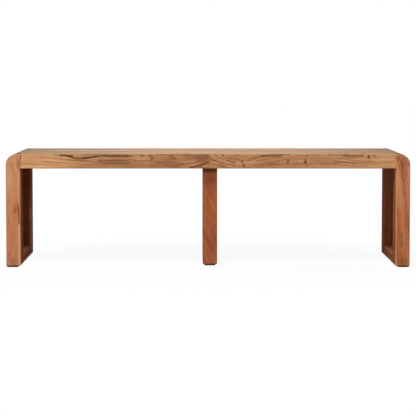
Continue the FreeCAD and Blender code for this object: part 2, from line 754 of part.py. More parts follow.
def turn_screw(body, name, across, offset, length):
    """Turns a countersunk screw, point up, about an upright line at a place across the body."""
    head, shank = "(screw_head_diameter / 2)", "(screw_diameter / 2)"
    sketch = new_sketch(body, name, "XZ_Plane", offset)
    add_polygon(sketch, [
        (across, "0"),
        (f"({across} + {head})", "0"),
        (f"({across} + {shank})", SCREW_HEAD_HEIGHT),
        (f"({across} + {shank})", f"({length} - screw_tip)"),
        (across, length),
    ])
    foot = FreeCAD.Vector(value(across), 0)
    tip = FreeCAD.Vector(value(across), value(length))
    is_construction = True
    axis_line = sketch.addGeometry(Part.LineSegment(foot, tip), is_construction)
    for point, up in ((START, "0"), (END, length)):
        pin(sketch, "DistanceX", axis_line, point, across)
        pin(sketch, "DistanceY", axis_line, point, up)
    turned = body.newObject("PartDesign::Revolution", f"{name}_turned")
    turned.Profile = sketch
    turned.ReferenceAxis = (sketch, ["Axis0"])
    turned.Angle = 360
    doc.recompute()
    return turned


def board_screws(name):
    """Makes the screws that hold the seat boards of one half to its cross rails."""
    crosses = HALVES[name]["crosses"]
    first_row = f"(-(board_count - 1) / 2 * {BOARD_PITCH} - {BOARD_WIDTH} / 4)"
    left_most = min(crosses.values(), key=value)
    body = new_piece(f"{name}_board_screws", (left_most, first_row, SEAT_UNDER))
    screw = turn_screw(body, f"{name}_board_screw", "0", "0", SCREW_LENGTH)
    repeats = body.newObject("PartDesign::MultiTransform", f"{name}_board_screw_repeats")
    steps = {
        "pair": ("Y_Axis", "2", f"({BOARD_WIDTH} / 2)"),
        "boards": ("Y_Axis", "board_count", BOARD_PITCH),
        "crosses": ("X_Axis", str(len(crosses)), f"abs({crosses['middle']} - {crosses['end']})"),
    }
    patterns = []
    for step, (role, count, spacing) in steps.items():
        pattern = body.newObject("PartDesign::LinearPattern", f"{name}_{step}")
        pattern.Direction = (plane(body, role), [""])
        pattern.Mode = "Spacing"
        bind(pattern, "Occurrences", count)
        bind(pattern, "Offset", spacing)
        patterns.append(pattern)
    repeats.Originals = [screw]
    repeats.Transformations = patterns
    body.Tip = repeats
    doc.recompute()


# Foot pads

PAD_PLACES = {
    "left": (f"({PAD_MIDDLE} - bench_length / 2)", f"({SEAT_FACE} - {PAD_MIDDLE})"),
    "right": (f"(bench_length / 2 - {PAD_MIDDLE})", f"({SEAT_FACE} - {PAD_MIDDLE})"),
    "centre": ("seam_offset", f"({RAIL_INNER} - {PAD_MIDDLE})"),
}


def foot_pads():
    """Makes a rubber pad under each post, and the screw through each pad."""
    pads = new_piece("foot_pads")
    outline = new_sketch(pads, "pad_outlines", "XY_Plane", "0")
    recesses = new_sketch(pads, "pad_recesses", "XY_Plane", "0")
    holes = new_sketch(pads, "pad_holes", "XY_Plane", "pad_screw_recess")
    half = "(pad_width / 2)"
    for across, back in PAD_PLACES.values():
        for face in (-1, 1):
            along_y = times(face, back)
            sides = (f"({across} - {half})", f"({across} + {half})")
            ends = (f"({along_y} - {half})", f"({along_y} + {half})")
            add_rectangle(outline, sides, ends)
            add_circle(holes, across, along_y, SCREW_HOLE)
            add_circle(recesses, across, along_y, HEAD_HOLE)
    pad(pads, outline, "pad_height")
    round_edges(pads, "corners", "pad_radius", is_upright)
    pocket(pads, recesses, "pad_screw_recess", backwards=True)
    sink(pads, holes, "(pad_height - pad_screw_recess)")

    screws = new_piece("foot_pad_screws", ("0", "0", "pad_screw_recess"))
    turned = []
    for name, (across, back) in PAD_PLACES.items():
        length = "(pad_height - pad_screw_recess + pad_screw_reach - mortise_gap)"
        turned.append(turn_screw(screws, f"{name}_pad_screw", across, times(-1, back), length))
    mirror(screws, "XZ_Plane", *turned)


end_frame("left", -1)
end_frame("right", 1)
centre_frame()
for half_name in HALVES:
    seat_half(half_name)
seat_rail_dowels()
seam_dowels()
for half_name in HALVES:
    cross_rail_dowels(half_name)
    board_screws(half_name)
end_fasteners()
centre_fasteners()
foot_pads()
doc.recompute()

for item in doc.Objects:
    if {"Invalid", "Error"} & set(item.State):
        raise RuntimeError(f"{item.Name} did not rebuild: {item.State}")
for piece in pieces:
    if piece.Shape.isNull() or not piece.Shape.isValid():
        raise RuntimeError(f"{piece.Label} has no valid shape")

os.makedirs("parts", exist_ok=True)
for piece in pieces:
    piece.Shape.exportStep(os.path.join("parts", f"{piece.Label}.step"))
print(f"{len(pieces)} pieces written, {sum(len(piece.Shape.Solids) for piece in pieces)} solids")
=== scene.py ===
import math

import bpy
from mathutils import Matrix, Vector


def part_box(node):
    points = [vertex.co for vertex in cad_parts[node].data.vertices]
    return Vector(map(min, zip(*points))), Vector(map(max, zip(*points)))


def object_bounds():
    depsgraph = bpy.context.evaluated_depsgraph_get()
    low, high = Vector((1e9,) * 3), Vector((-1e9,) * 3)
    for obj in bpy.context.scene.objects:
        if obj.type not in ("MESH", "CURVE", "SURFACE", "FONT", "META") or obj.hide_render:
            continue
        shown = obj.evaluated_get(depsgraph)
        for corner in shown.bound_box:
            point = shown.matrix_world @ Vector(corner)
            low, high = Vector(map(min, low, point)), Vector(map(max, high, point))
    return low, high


# A backless bench of oiled hardwood on a plain pale floor.
# Lengths are in metres. X runs along the seat, Y towards the back and Z up.

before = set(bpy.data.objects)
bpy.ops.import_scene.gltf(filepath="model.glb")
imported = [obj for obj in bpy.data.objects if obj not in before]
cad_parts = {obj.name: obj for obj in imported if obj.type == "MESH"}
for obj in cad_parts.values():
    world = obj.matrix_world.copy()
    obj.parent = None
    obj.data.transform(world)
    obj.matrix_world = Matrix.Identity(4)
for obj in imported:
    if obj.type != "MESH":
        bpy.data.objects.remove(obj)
cad_box = [list(corner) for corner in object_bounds()]
HEIGHT = cad_box[1][2]

# Which axis runs along the grain, and which two run across it
AXES = {"x": (0, 1, 2), "y": (1, 0, 2), "z": (2, 0, 1)}
RIGHTWARDS, LEFTWARDS = (1.0, 0.0, 0.0), (-1.0, 0.0, 0.0)
FORWARDS, UPWARDS = (0.0, -1.0, 0.0), (0.0, 0.0, 1.0)


# Colours are written in sRGB, as the eye picks them, and turned to linear light here.
# The sRGB curve is straight up to its knee, and a power above it.
SRGB_KNEE = 0.04045
SRGB_SLOPE = 12.92
SRGB_OFFSET = 0.055
SRGB_POWER = 2.4


def linear(channel):
    share = channel / 255
    if share <= SRGB_KNEE:
        return share / SRGB_SLOPE
    return ((share + SRGB_OFFSET) / (1 + SRGB_OFFSET)) ** SRGB_POWER


def colour(red, green, blue):
    return (linear(red), linear(green), linear(blue), 1.0)


# Each wood has three tones: late wood, the ground colour and early wood
WOODS = {
    "honey": (colour(178, 122, 78), colour(202, 148, 102), colour(216, 166, 120)),
    "brown": (colour(140, 92, 58), colour(174, 124, 82), colour(192, 144, 100)),
    # a darker tone, used as painted shade towards the ends of the seat
    "shaded_walnut": (colour(112, 82, 52), colour(140, 108, 73), colour(160, 129, 93)),
    "tan": (colour(166, 102, 68), colour(192, 126, 88), colour(208, 146, 104)),
    "russet": (colour(142, 80, 48), colour(180, 110, 70), colour(198, 130, 88)),
    "deep": (colour(128, 66, 38), colour(160, 90, 56), colour(178, 108, 70)),
    "blush": (colour(170, 112, 78), colour(199, 138, 102), colour(213, 154, 118)),
    "copper": (colour(150, 92, 62), colour(188, 120, 82), colour(204, 138, 100)),
    "dusk": (colour(108, 54, 30), colour(137, 75, 44), colour(154, 92, 58)),
    "sand": (colour(142, 108, 74), colour(167, 132, 95), colour(184, 150, 113)),
    "beech": (colour(196, 160, 116), colour(214, 182, 138), colour(226, 200, 160)),
}
DARK = colour(70, 38, 24)
RED = colour(120, 56, 36)
# painted shade for sides that face into the frames' openings
PAINTED_SHADE = colour(118, 38, 24)
DUN = colour(126, 82, 60)
UMBER = colour(104, 68, 40)
ROSE = colour(170, 104, 66)
PALE = colour(214, 158, 108)
# a pale tint: painted light from the floor on the bottom rails, and pale strips on the front posts
PALE_STRIP = colour(214, 170, 122)


class Tree:
    """A material's nodes, built by short calls that each give the socket of their result."""

    def __init__(self, name):
        self.material = bpy.data.materials.new(name)
        self.material.use_nodes = True
        self.nodes = self.material.node_tree.nodes
        self.links = self.material.node_tree.links
        self.surface = self.nodes["Principled BSDF"]
        place = self.add("ShaderNodeTexCoord")
        self.spot = place.outputs["Object"]
        self.facing = place.outputs["Normal"]

    def add(self, kind, **settings):
        node = self.nodes.new(kind)
        for name, setting in settings.items():
            setattr(node, name, setting)
        return node

    def feed(self, socket, source):
        if isinstance(source, bpy.types.NodeSocket):
            self.links.new(source, socket)
        elif source is not None:
            socket.default_value = source

    def math(self, operation, first, second=None, third=None):
        node = self.add("ShaderNodeMath", operation=operation)
        for socket, source in zip(node.inputs, (first, second, third)):
            self.feed(socket, source)
        return node.outputs[0]

    def swing(self, source, amount, base):
        """The base, moved up and down by the amount as the source goes from 0 to 1."""
        return self.math("MULTIPLY_ADD", self.math("SUBTRACT", source, 0.5), amount, base)

    def vector(self, operation, first, second=None):
        node = self.add("ShaderNodeVectorMath", operation=operation)
        self.feed(node.inputs[0], first)
        self.feed(node.inputs[1], second)
        return node.outputs["Value" if operation in ("LENGTH", "DOT_PRODUCT") else "Vector"]

    def length(self, *parts):
        node = self.add("ShaderNodeCombineXYZ")
        for socket, part in zip(node.inputs, parts):
            self.feed(socket, part)
        return self.vector("LENGTH", node.outputs[0])

    def separate(self, source):
        node = self.add("ShaderNodeSeparateXYZ")
        self.feed(node.inputs[0], source)
        return node.outputs[0], node.outputs[1], node.outputs[2]

    def step(self, source, start, stop, bottom=0.0, top=1.0):
        """Goes smoothly from bottom to top as the source goes from start to stop."""
        node = self.add("ShaderNodeMapRange", interpolation_type="SMOOTHSTEP")
        for socket, part in zip(node.inputs, (source, start, stop, bottom, top)):
            self.feed(socket, part)
        return node.outputs[0]

    def noise(self, stretch, seed=0.0, detail=2.0, roughness=0.5):
        """Noise with its own scale along each axis, from 0 to 1."""
        stretched = self.vector("MULTIPLY", self.spot, stretch)
        moved = self.vector("ADD", stretched, (seed, 2 * seed, 3 * seed))
        node = self.add("ShaderNodeTexNoise", noise_dimensions="3D")
        self.feed(node.inputs["Vector"], moved)
        node.inputs["Scale"].default_value = 1.0
        node.inputs["Detail"].default_value = detail
        node.inputs["Roughness"].default_value = roughness
        return node.outputs["Fac"]

    def bands(self, source, per_metre, seed, detail=1.0):
        """Uneven bands along one number, from 0 to 1."""
        node = self.add("ShaderNodeTexNoise", noise_dimensions="1D")
        self.feed(node.inputs["W"], self.math("MULTIPLY_ADD", source, per_metre, seed))
        node.inputs["Scale"].default_value = 1.0
        node.inputs["Detail"].default_value = detail
        return node.outputs["Fac"]

    def mix(self, factor, first, second):
        """Mixes two colours. The mix node has more sockets of the same names, so these go by number."""
        node = self.add("ShaderNodeMix", data_type="RGBA")
        self.feed(node.inputs["Factor"], factor)
        self.feed(node.inputs[6], first)
        self.feed(node.inputs[7], second)
        return node.outputs[2]

    def tones(self, tone, kind):
        """Goes through a wood's three tones as tone goes from 0 to 1."""
        late, ground, early = WOODS[kind]
        darker = self.mix(self.step(tone, 0.0, 0.5), late, ground)
        return self.mix(self.step(tone, 0.5, 1.0), darker, early)

    def bump(self, height, strength, distance):
        node = self.add("ShaderNodeBump")
        node.inputs["Strength"].default_value = strength
        node.inputs["Distance"].default_value = distance
        self.feed(node.inputs["Height"], height)
        self.feed(self.surface.inputs["Normal"], node.outputs["Normal"])


# The figure of a front face is drawn with marks. Their places are (x, z) on that face.
# A mark's cover is how much of its tint shows: its depth in the middle, and 0 outside.

# Where a mark is still whole and where it is gone, as shares of its width or size
STROKE_WHOLE, STROKE_GONE = 0.4, 1.3
PATCH_WHOLE, PATCH_GONE = 0.35, 1.3
RING_WHOLE, RING_GONE = 0.25, 1.0
STROKE_END = 0.3  # a stroke fades out towards its ends, where its bow is less than this share


class Stroke:
    """A line of dark or pale wood along the grain, bowed by its sag in the middle.

    Its width is measured from its middle to where little of it is left."""

    def __init__(self, start, end, sag=0.0, width=0.0025, depth=0.5, tint=DARK):
        self.start, self.end, self.sag = start, end, sag
        self.width, self.depth, self.tint = width, depth, tint

    def cover(self, tree, along, across, upright):
        (first, base), (last, top) = (point[::-1] if upright else point for point in (self.start, self.end))
        share = tree.math("DIVIDE", tree.math("SUBTRACT", along, first), last - first)
        # the bow is 0 at the ends and 1 in the middle
        bow = tree.math("MULTIPLY", tree.math("MULTIPLY", share, tree.math("SUBTRACT", 1.0, share)), 4.0)
        line = tree.math("MULTIPLY_ADD", share, top - base, base)
        line = tree.math("MULTIPLY_ADD", bow, self.sag, line)
        away = tree.math("ABSOLUTE", tree.math("SUBTRACT", across, line))
        body = tree.step(away, STROKE_GONE * self.width, STROKE_WHOLE * self.width, 0.0, self.depth)
        return tree.math("MULTIPLY", body, tree.step(bow, 0.0, STROKE_END))


class Patch:
    """A soft spot of another tint. Its size is half its length and half its height."""

    def __init__(self, spot, size, depth=0.5, tint=DARK):
        self.spot, self.size, self.depth, self.tint = spot, size, depth, tint

    def reach(self, tree, along, across, upright):
        spot, size = (pair[::-1] if upright else pair for pair in (self.spot, self.size))
        return tree.length(
            tree.math("DIVIDE", tree.math("SUBTRACT", along, spot[0]), size[0]),
            tree.math("DIVIDE", tree.math("SUBTRACT", across, spot[1]), size[1]),
            0.0,
        )

    def cover(self, tree, along, across, upright):
        reach = self.reach(tree, along, across, upright)
        return tree.step(reach, PATCH_GONE, PATCH_WHOLE, 0.0, self.depth)


class Ring(Patch):
    """The outline of such a spot, as where a year's ring is cut flat."""

    def __init__(self, spot, size, width=0.002, depth=0.5, tint=DARK):
        super().__init__(spot, size, depth, tint)
        self.width = width

    def cover(self, tree, along, across, upright):
        share = self.width / min(self.size)
        reach = self.reach(tree, along, across, upright)
        away = tree.math("ABSOLUTE", tree.math("SUBTRACT", reach, 1.0))
        return tree.step(away, RING_GONE * share, RING_WHOLE * share, 0.0, self.depth)


# Wood is made of noise. Each kind has its waves for each metre along and across the grain,
# and what it adds to the piece's seed.
DRIFT = (2.2, 9.0, 0.0)
SIDE_DRIFT = (3.1, 14.0, 31.0)
FIBRE = (7.0, 260.0, 0.0)
STREAK = (4.0, 95.0, 11.0)
BLOTCH = (16.0, 48.0, 57.0)
PORES = (45.0, 900.0, 0.0)
WIDE_RINGS, NARROW_RINGS = 62.0, 190.0  # for each metre away from the pith
DRIFT_WAVE, SIDE_WAVE = 0.05, 0.03  # how far the drifts push the rings
PORE_LIMITS = (0.60, 0.74)  # noise up to the first is plain wood, and from the second a pore
# How strongly each kind shows in the wood's tone
TONE_SHARES = {"wide": 1.3, "narrow": 0.9, "fibre": 0.5, "streak": 0.8, "drift": 0.6}
BLOTCH_SHARE = 0.8
PORE_SHARE = -0.18


class Grain:
    """The noise in one piece's wood, and the rings round its pith."""

    def __init__(self, tree, axis, seed, middle, pith, lean, swells):
        self.tree, self.axes, self.seed = tree, AXES[axis], seed
        self.along = tree.separate(tree.spot)[self.axes[0]]
        self.drift = self.noise(DRIFT)
        self.wave = tree.swing(self.drift, DRIFT_WAVE, 0.0)
        self.fibre = self.noise(FIBRE, detail=3.0, roughness=0.6)
        self.streak = self.noise(STREAK)
        self.pore = tree.step(self.noise(PORES, detail=1.0), *PORE_LIMITS)
        self.ring = self.from_pith(middle, pith, lean)
        for place, reach, push in swells:
            away = tree.math("ABSOLUTE", tree.math("SUBTRACT", self.along, place))
            self.ring = tree.math("ADD", self.ring, tree.step(away, reach, 0.0, 0.0, push))
        self.wide = tree.bands(self.ring, WIDE_RINGS, seed)
        self.narrow = tree.bands(self.ring, NARROW_RINGS, seed, detail=2.0)

    def noise(self, kind, **settings):
        along, across, extra = kind
        stretch = [across, across, across]
        stretch[self.axes[0]] = along
        return self.tree.noise(stretch, self.seed + extra, **settings)

    def from_pith(self, middle, pith, lean):
        """How far a point is from the pith, with the pith's lean and a slow drift."""
        tree = self.tree
        from_middle = tree.math("SUBTRACT", self.along, middle[self.axes[0]])
        waves = (self.wave, tree.swing(self.noise(SIDE_DRIFT), SIDE_WAVE, 0.0))
        sides = []
        for axis, start, slope, wave in zip(self.axes[1:], pith, lean, waves):
            side = tree.math("SUBTRACT", tree.separate(tree.spot)[axis], middle[axis] + start)
            side = tree.math("MULTIPLY_ADD", from_middle, slope, side)
            sides.append(tree.math("ADD", side, wave))
        return tree.length(*sides, 0.0)

    def tone(self, contrast):
        """How light the wood is, round 0.5. The contrast leaves blotches and pores as they are."""
        tone = 0.5
        for name, share in TONE_SHARES.items():
            tone = self.tree.swing(getattr(self, name), share * contrast, tone)
        tone = self.tree.swing(self.noise(BLOTCH, detail=3.0), BLOTCH_SHARE, tone)
        return self.tree.math("MULTIPLY_ADD", self.pore, PORE_SHARE, tone)


FIGURE_SKIN = 0.006  # how deep the marks go below the front face
FIGURE_SHIFT = 0.004  # how far the streaks shift them
FIGURE_BREAKS = (0.25, 0.60, 0.6, 1.0)  # fibres at 0.25 leave 0.6 of a mark, and at 0.60 all of it


def draw_figure(tree, ground, figure, grain, front, upright):
    """Draws the marks on the front face, a little ragged and only as deep as its skin."""
    x, y, z = tree.separate(tree.spot)
    across = tree.swing(grain.streak, FIGURE_SHIFT, x if upright else z)
    skin = tree.step(y, front + FIGURE_SKIN, front)
    broken = tree.math("MULTIPLY", skin, tree.step(grain.fibre, *FIGURE_BREAKS))
    for mark in figure:
        cover = tree.math("MULTIPLY", mark.cover(tree, grain.along, across, upright), broken)
        ground = tree.mix(cover, ground, mark.tint)
    return ground


# A side counts as facing a way from the first of these to the second, where 1 is straight at it
SHADED_SIDE_FACING = (0.85, 0.99)
TOP_FACING = (0.5, 0.9)
END_FACING = (0.75, 0.98)


def facing_share(tree, towards, limits, share=1.0):
    """The share on what faces that way, and 0 on what doesn't."""
    return tree.step(tree.vector("DOT_PRODUCT", tree.facing, towards), *limits, 0.0, share)


FLOOR_GLOW_TOP = 0.6  # the painted light from the floor is whole up to this share of its height
FLOOR_GLOW_SHARE = 0.9


def paint_floor_glow(tree, ground, height):
    """Painted light thrown up from the floor: pale up to a height."""
    z = tree.separate(tree.spot)[2]
    return tree.mix(tree.step(z, height, FLOOR_GLOW_TOP * height, 0.0, FLOOR_GLOW_SHARE), ground, PALE_STRIP)


SEAT_LEVEL = (HEIGHT - 0.030, HEIGHT - 0.010)
TOP_LIGHT_MIDDLE = 0.12  # the painted light on the seat is brightest here
TOP_LIGHT_REACH = (0.25, 0.80)  # and darkens from the first to the second distance from there


def paint_top_light(tree, ground, tone):
    """Painted light and sheen on what faces up at the height of the seat, brightest near the middle."""
    x, y, z = tree.separate(tree.spot)
    from_middle = tree.math("ABSOLUTE", tree.math("SUBTRACT", x, TOP_LIGHT_MIDDLE))
    darker = tree.step(from_middle, *TOP_LIGHT_REACH)
    lit_top = tree.mix(darker, tree.tones(tone, "sand"), tree.tones(tone, "shaded_walnut"))
    upward = facing_share(tree, UPWARDS, TOP_FACING)
    return tree.mix(tree.math("MULTIPLY", upward, tree.step(z, *SEAT_LEVEL)), ground, lit_top)


def edge_distance(tree, lowest, highest):
    """How far a point on a piece is from the nearest edge of its box."""
    from_low = tree.separate(tree.vector("SUBTRACT", tree.spot, tuple(lowest)))
    from_high = tree.separate(tree.vector("SUBTRACT", tuple(highest), tree.spot))
    x, y, z = (tree.math("MINIMUM", one, other) for one, other in zip(from_low, from_high))
    smallest = tree.math("MINIMUM", x, tree.math("MINIMUM", y, z))
    largest = tree.math("MAXIMUM", x, tree.math("MAXIMUM", y, z))
    total = tree.math("ADD", x, tree.math("ADD", y, z))
    return tree.math("SUBTRACT", tree.math("SUBTRACT", total, smallest), largest)


WORN_WIDTH = (0.0025, 0.0005)  # wear starts this far from an edge and is whole this far from it
WORN_SHARE = (0.35, 0.65, 0.03, 0.14)  # from 0.03 to 0.14 as the drift goes from 0.35 to 0.65


def wear_edges(tree, ground, grain, lowest, highest, tint):
    """Edges that hands have made a little paler."""
    worn = tree.step(edge_distance(tree, lowest, highest), *WORN_WIDTH)
    worn = tree.math("MULTIPLY", worn, tree.step(grain.drift, *WORN_SHARE))
    return tree.mix(worn, ground, tint)


FADE_WAVES = 4.0  # how much further the waves push the place where one wood turns into the other
END_SHARE = 0.35  # how much late wood shows on end grain, because it drinks more oil
END_ROUGHNESS = 0.15
FIBRE_ROUGHNESS, DRIFT_ROUGHNESS = 0.25, 0.2
RING_RELIEF, FIBRE_RELIEF, PORE_RELIEF = 0.6, 0.5, -0.5
RELIEF_STRENGTH, RELIEF_DEPTH = 0.35, 0.0004


def wood(
    node_name, axis, kinds, seed, pith=(0.05, 0.04), lean=(0.02, 0.02), fade=None, swells=(), figure=(),
    contrast=1.0, sheen=0.10, roughness=0.62, top=False, floor_glow=None, shaded_side=None,
):
    """Makes the wood of one piece and gives it to the piece.

    The grain runs along the axis. The kinds are one or two woods, and fade says between which places along
    the piece the first turns into the second. The seed is any number, and pieces with different seeds have
    different noise. The pith is where the middle of the tree lies, across the grain from the middle of the
    piece. It leans by so much for each metre along the grain, and that draws flames and arches on the faces.
    A swell is a place along the grain, its reach and how far it pushes the rings. The contrast says how far
    the tones differ. A piece with a top gets painted light on what faces up at the height of the seat.
    Up to a given height near the floor a piece can be painted pale, as painted light from the floor. A side
    that faces a given way can be painted darker by a given share, as painted shade inside a frame's opening."""
    tree = Tree(f"{node_name}_wood")
    lowest, highest = (Vector(corner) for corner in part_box(node_name))
    grain = Grain(tree, axis, seed, (lowest + highest) / 2, pith, lean, swells)
    tone = grain.tone(contrast)

    ground = tree.tones(tone, kinds[0])
    if fade:
        turning = tree.step(tree.math("MULTIPLY_ADD", grain.wave, FADE_WAVES, grain.along), *fade)
        ground = tree.mix(turning, ground, tree.tones(tone, kinds[1]))
    if figure:
        ground = draw_figure(tree, ground, figure, grain, lowest.y, upright=axis == "z")
    # painted shade on a side that faces into a frame's opening, where the seat and the posts keep light off
    if shaded_side:
        towards, share = shaded_side
        ground = tree.mix(facing_share(tree, towards, SHADED_SIDE_FACING, share), ground, PAINTED_SHADE)
    # painted light from the floor along the foot of the piece
    if floor_glow:
        ground = paint_floor_glow(tree, ground, floor_glow)
    # painted light and sheen on what faces up at the seat's height
    if top:
        ground = paint_top_light(tree, ground, tone)

    grain_way = [0.0, 0.0, 0.0]
    grain_way[grain.axes[0]] = 1.0
    along_grain = tree.math("ABSOLUTE", tree.vector("DOT_PRODUCT", tree.facing, grain_way))
    end = tree.step(along_grain, *END_FACING)
    ground = tree.mix(tree.math("MULTIPLY", end, END_SHARE), ground, WOODS[kinds[0]][0])
    ground = wear_edges(tree, ground, grain, lowest, highest, WOODS[kinds[-1]][2])
    tree.feed(tree.surface.inputs["Base Color"], ground)

    rough = tree.swing(grain.fibre, FIBRE_ROUGHNESS, roughness)
    rough = tree.swing(grain.drift, DRIFT_ROUGHNESS, rough)
    tree.feed(tree.surface.inputs["Roughness"], tree.math("MULTIPLY_ADD", end, END_ROUGHNESS, rough))
    tree.surface.inputs["Specular IOR Level"].default_value = sheen

    relief = tree.math("MULTIPLY", grain.fibre, FIBRE_RELIEF)
    relief = tree.math("MULTIPLY_ADD", grain.narrow, RING_RELIEF, relief)
    relief = tree.math("MULTIPLY_ADD", grain.pore, PORE_RELIEF, relief)
    tree.bump(relief, RELIEF_STRENGTH, RELIEF_DEPTH)
    give(node_name, tree.material)


def give(node_name, material):
    """Puts the material in every slot of a CAD piece."""
    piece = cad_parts[node_name]
    if not piece.material_slots:
        piece.data.materials.append(material)
    for slot in piece.material_slots:
        slot.material = material


# Metal and rubber, with noise of so many waves for each metre along the three axes

TOOL_MARKS = (2600.0, 300.0, 300.0)
MARK_ROUGHNESS = 0.2
MARK_RELIEF = (0.25, 0.00005)  # the strength and the depth of the bump
BLOOM = (60.0, 60.0, 60.0)
BLOOM_LIMITS = (0.4, 0.7)
BLOOM_TINT = 0.72  # how light metal stays where it has bloomed
BLOOM_ROUGHNESS = 0.12
MOULD_GRAIN = (900.0, 900.0, 900.0)
MOULD_RELIEF = (0.4, 0.0001)
SCUFFS = (70.0, 140.0, 70.0)
SCUFF_LIMITS = (0.5, 0.75)
SCUFF_ROUGHNESS = 0.25
RUBBER_ROUGHNESS = 0.6
RUBBER_SHEEN = 0.1


def metal_material(name, tint, roughness):
    """Turned metal with fine tool marks and a little dull bloom."""
    tree = Tree(name)
    marks = tree.noise(TOOL_MARKS)
    bloom = tree.noise(BLOOM, detail=3.0)
    dull = tuple(BLOOM_TINT * part for part in tint[:3]) + (1.0,)
    tree.feed(tree.surface.inputs["Base Color"], tree.mix(tree.step(bloom, *BLOOM_LIMITS), tint, dull))
    rough = tree.swing(marks, MARK_ROUGHNESS, roughness)
    rough = tree.math("MULTIPLY_ADD", bloom, BLOOM_ROUGHNESS, rough)
    tree.feed(tree.surface.inputs["Roughness"], rough)
    tree.surface.inputs["Metallic"].default_value = 1.0
    tree.bump(marks, *MARK_RELIEF)
    return tree.material


def rubber_material(name):
    """Black moulded rubber with a fine matt grain and scuffs."""
    tree = Tree(name)
    grain = tree.noise(MOULD_GRAIN)
    scuff = tree.noise(SCUFFS, detail=4.0)
    tint = tree.mix(tree.step(scuff, *SCUFF_LIMITS), colour(40, 30, 28), colour(70, 58, 54))
    tree.feed(tree.surface.inputs["Base Color"], tint)
    rough = tree.math("MULTIPLY_ADD", scuff, SCUFF_ROUGHNESS, RUBBER_ROUGHNESS)
    tree.feed(tree.surface.inputs["Roughness"], rough)
    tree.surface.inputs["Specular IOR Level"].default_value = RUBBER_SHEEN
    tree.bump(grain, *MOULD_RELIEF)
    return tree.material


# The left half's front rail: a wavy dark line below the top edge, a pale lens with dark eyes,
# and flames at the seam

